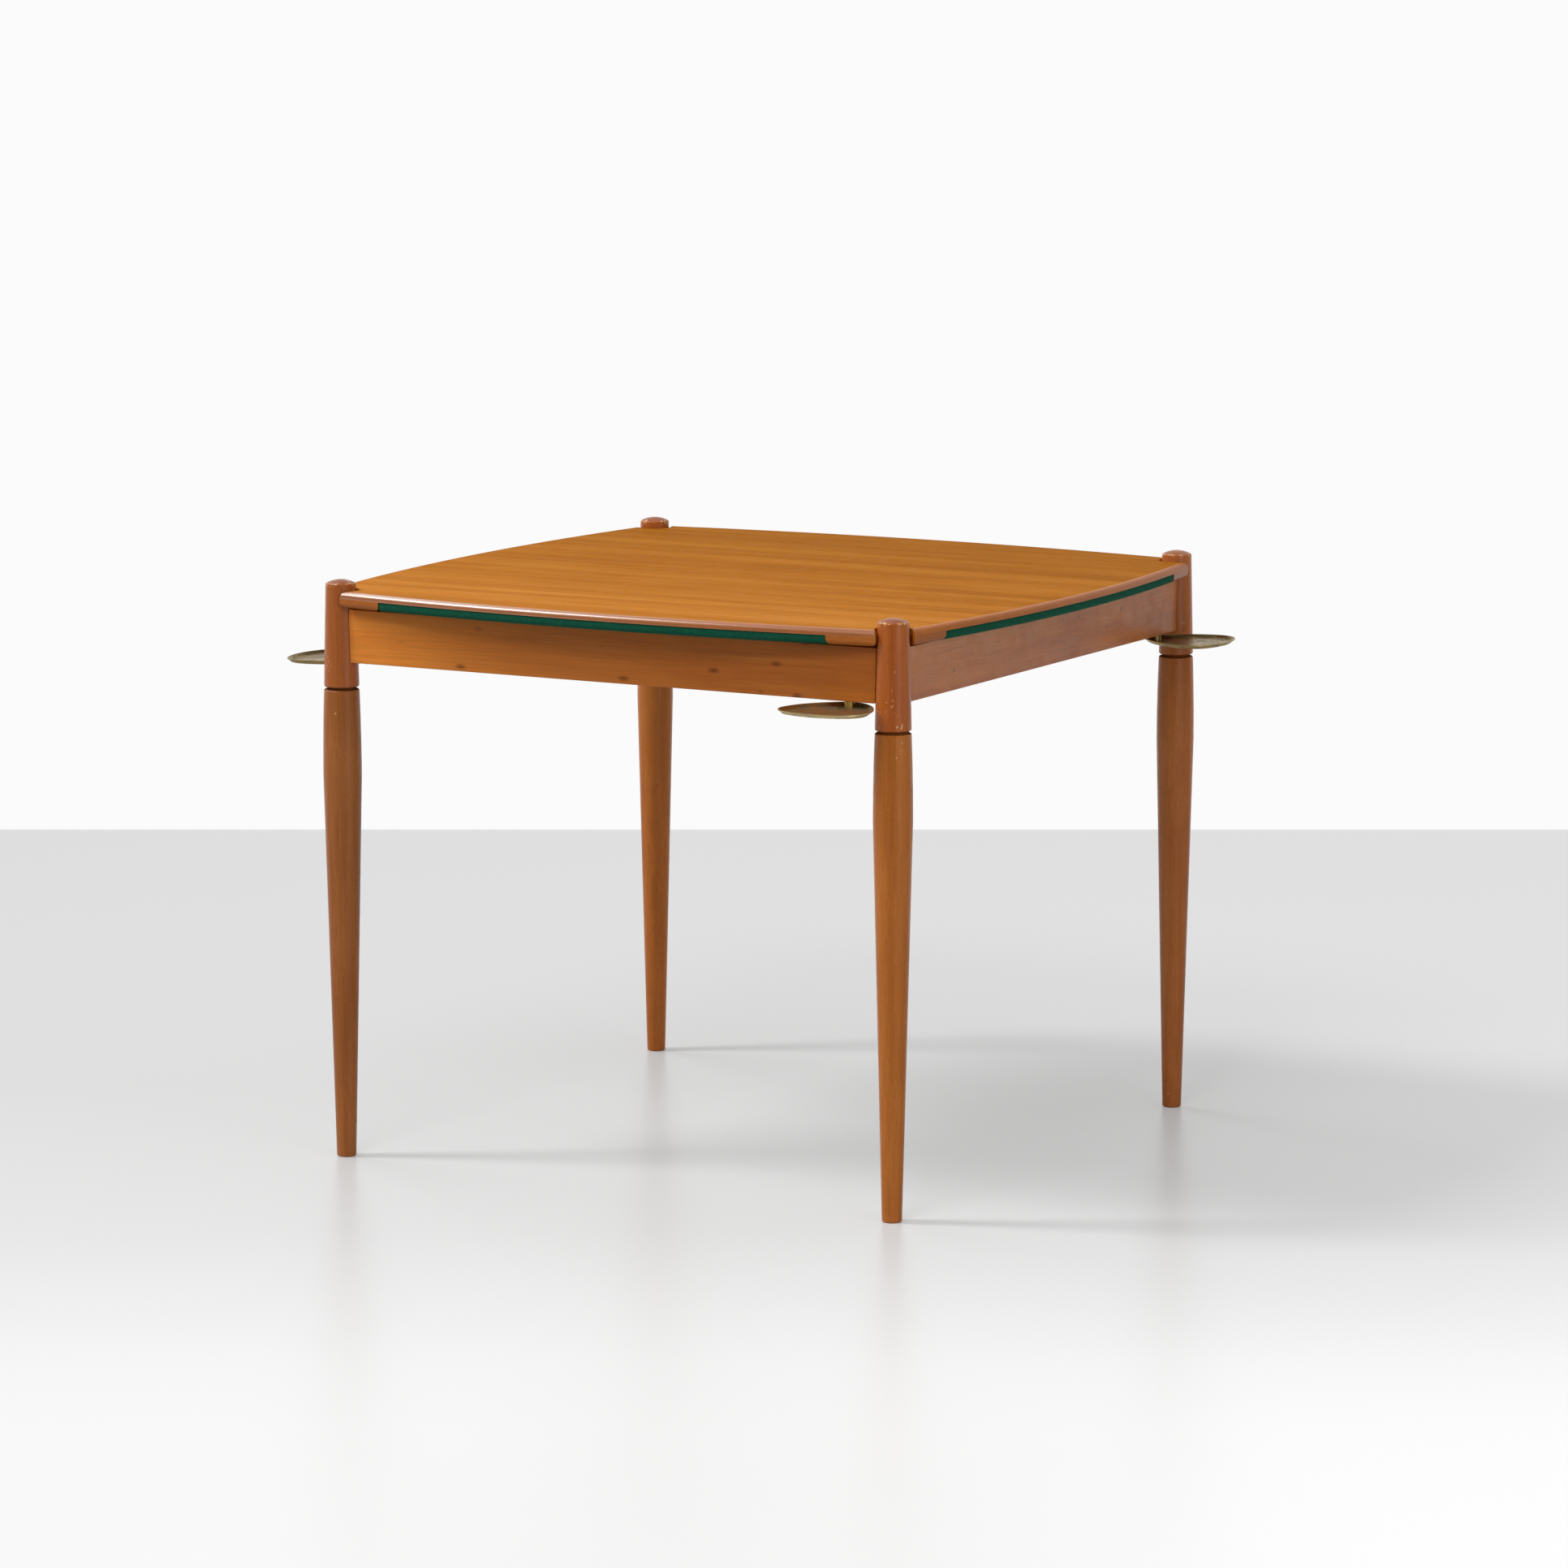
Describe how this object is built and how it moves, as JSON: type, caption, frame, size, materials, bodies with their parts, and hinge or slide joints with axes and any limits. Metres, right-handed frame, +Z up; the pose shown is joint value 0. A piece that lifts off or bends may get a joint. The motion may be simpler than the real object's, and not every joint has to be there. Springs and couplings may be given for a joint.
{
  "type": "games table",
  "caption": "Square games table with a loose top, wood on one side and felt on the other, bowed sides, screw-in turned legs and swinging brass trays at the corners.",
  "frame": {"origin": "on the floor below the middle of the table", "axes": "+Z up, -Y the front side, +X to the right; the sides of the top run along X and Y"},
  "size_m": [0.998, 0.998, 0.7444],
  "materials": {
    "top_veneer": "satin lacquered veneer, straight grain",
    "edge_wood": "satin lacquer",
    "frame_wood": "satin lacquer",
    "leg_wood": "satin lacquer",
    "block_wood": "bare wood",
    "felt": "matt wool baize",
    "pad_rubber": "matt, dark",
    "brass": "aged, satin",
    "brass_fittings": "turned",
    "steel": "zinc plated"
  },
  "bodies": {
    "frame": {"post_front_right": "frame_wood", "post_back_right": "frame_wood", "post_back_left": "frame_wood", "post_front_left": "frame_wood", "apron_front": "frame_wood", "apron_right": "frame_wood", "apron_back": "frame_wood", "apron_left": "frame_wood", "corner_block_front_right": "block_wood", "corner_block_back_right": "block_wood", "corner_block_back_left": "block_wood", "corner_block_front_left": "block_wood", "rest_pads": "pad_rubber", "leg_sockets": "brass_fittings", "tray_spacers": "brass", "tray_washers": "brass", "tray_screws": "brass"},
    "top": {"top_board": "top_veneer", "edge_strip_front": "edge_wood", "edge_strip_right": "edge_wood", "edge_strip_back": "edge_wood", "edge_strip_left": "edge_wood", "top_corner_front_right": "edge_wood", "top_corner_back_right": "edge_wood", "top_corner_back_left": "edge_wood", "top_corner_front_left": "edge_wood", "felt_board": "block_wood", "felt_cover": "felt"},
    "leg_front_right": {"leg_front_right": "leg_wood", "leg_stud_front_right": "steel"},
    "tray_front_right": {"tray_front_right": "brass"},
    "leg_back_right": {"leg_back_right": "leg_wood", "leg_stud_back_right": "steel"},
    "tray_back_right": {"tray_back_right": "brass"},
    "leg_back_left": {"leg_back_left": "leg_wood", "leg_stud_back_left": "steel"},
    "tray_back_left": {"tray_back_left": "brass"},
    "leg_front_left": {"leg_front_left": "leg_wood", "leg_stud_front_left": "steel"},
    "tray_front_left": {"tray_front_left": "brass"}
  },
  "joints": [
    {"name": "top_lift", "type": "slide", "parent": "frame", "child": "top", "axis": [0, 0, 1], "range_m": [0, 0.15]},
    {"name": "leg_draw_front_right", "type": "slide", "parent": "frame", "child": "leg_front_right", "axis": [0, 0, -1], "range_m": [0, 0.04]},
    {"name": "leg_draw_back_right", "type": "slide", "parent": "frame", "child": "leg_back_right", "axis": [0, 0, -1], "range_m": [0, 0.04]},
    {"name": "leg_draw_back_left", "type": "slide", "parent": "frame", "child": "leg_back_left", "axis": [0, 0, -1], "range_m": [0, 0.04]},
    {"name": "leg_draw_front_left", "type": "slide", "parent": "frame", "child": "leg_front_left", "axis": [0, 0, -1], "range_m": [0, 0.04]},
    {"name": "tray_swing_front_right", "type": "hinge", "parent": "frame", "child": "tray_front_right", "pos_m": [0.336, -0.396, 0.632], "axis": [0, 0, -1], "range_deg": [0, 180]},
    {"name": "tray_swing_back_right", "type": "hinge", "parent": "frame", "child": "tray_back_right", "pos_m": [0.396, 0.336, 0.632], "axis": [0, 0, -1], "range_deg": [0, 180]},
    {"name": "tray_swing_back_left", "type": "hinge", "parent": "frame", "child": "tray_back_left", "pos_m": [-0.336, 0.396, 0.632], "axis": [0, 0, -1], "range_deg": [0, 180]},
    {"name": "tray_swing_front_left", "type": "hinge", "parent": "frame", "child": "tray_front_left", "pos_m": [-0.396, -0.336, 0.632], "axis": [0, 0, -1], "range_deg": [0, 180]}
  ]
}
